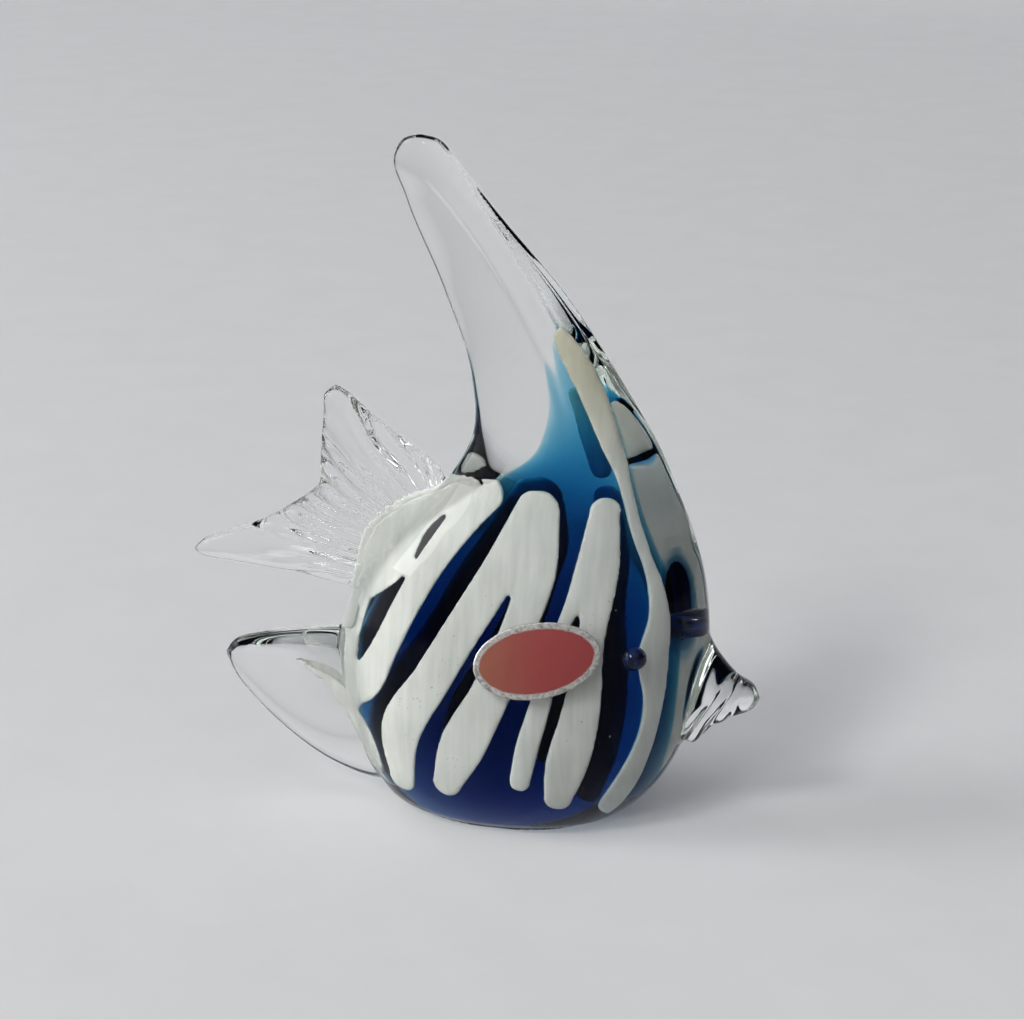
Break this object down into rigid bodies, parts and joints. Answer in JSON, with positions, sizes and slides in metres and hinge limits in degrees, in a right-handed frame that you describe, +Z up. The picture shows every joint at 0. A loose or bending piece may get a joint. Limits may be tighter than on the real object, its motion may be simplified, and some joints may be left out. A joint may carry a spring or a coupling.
{
  "type": "glass fish figurine",
  "caption": "Free-standing glass angelfish ornament: blue core with white trails cased in thick clear glass, tall swept-back dorsal fin, forked clear tail.",
  "frame": {"origin": "centre of the ground flat that the fish stands on", "axes": "+X towards the mouth, +Y across the fish to its far flank, +Z up to the dorsal fin's tip"},
  "size_m": [0.103, 0.0351, 0.121],
  "materials": {
    "clear_glass": "fire-polished",
    "cobalt_glass": "clear, deep blue",
    "opal_glass": "opal white",
    "eye_glass": "opaque dark bead",
    "label_foil": "metallic foil"
  },
  "bodies": {
    "root": {"clear_casing": "clear_glass", "cobalt_core": "cobalt_glass", "near_rear_trail": "opal_glass", "near_fork_trail": "opal_glass", "near_middle_trail": "opal_glass", "front_trail": "opal_glass", "far_rear_trail": "opal_glass", "far_fork_trail": "opal_glass", "far_middle_trail": "opal_glass", "tail_fin": "clear_glass", "mouth": "clear_glass", "near_eye": "eye_glass", "far_eye": "eye_glass", "foil_label": "label_foil"}
  },
  "joints": []
}
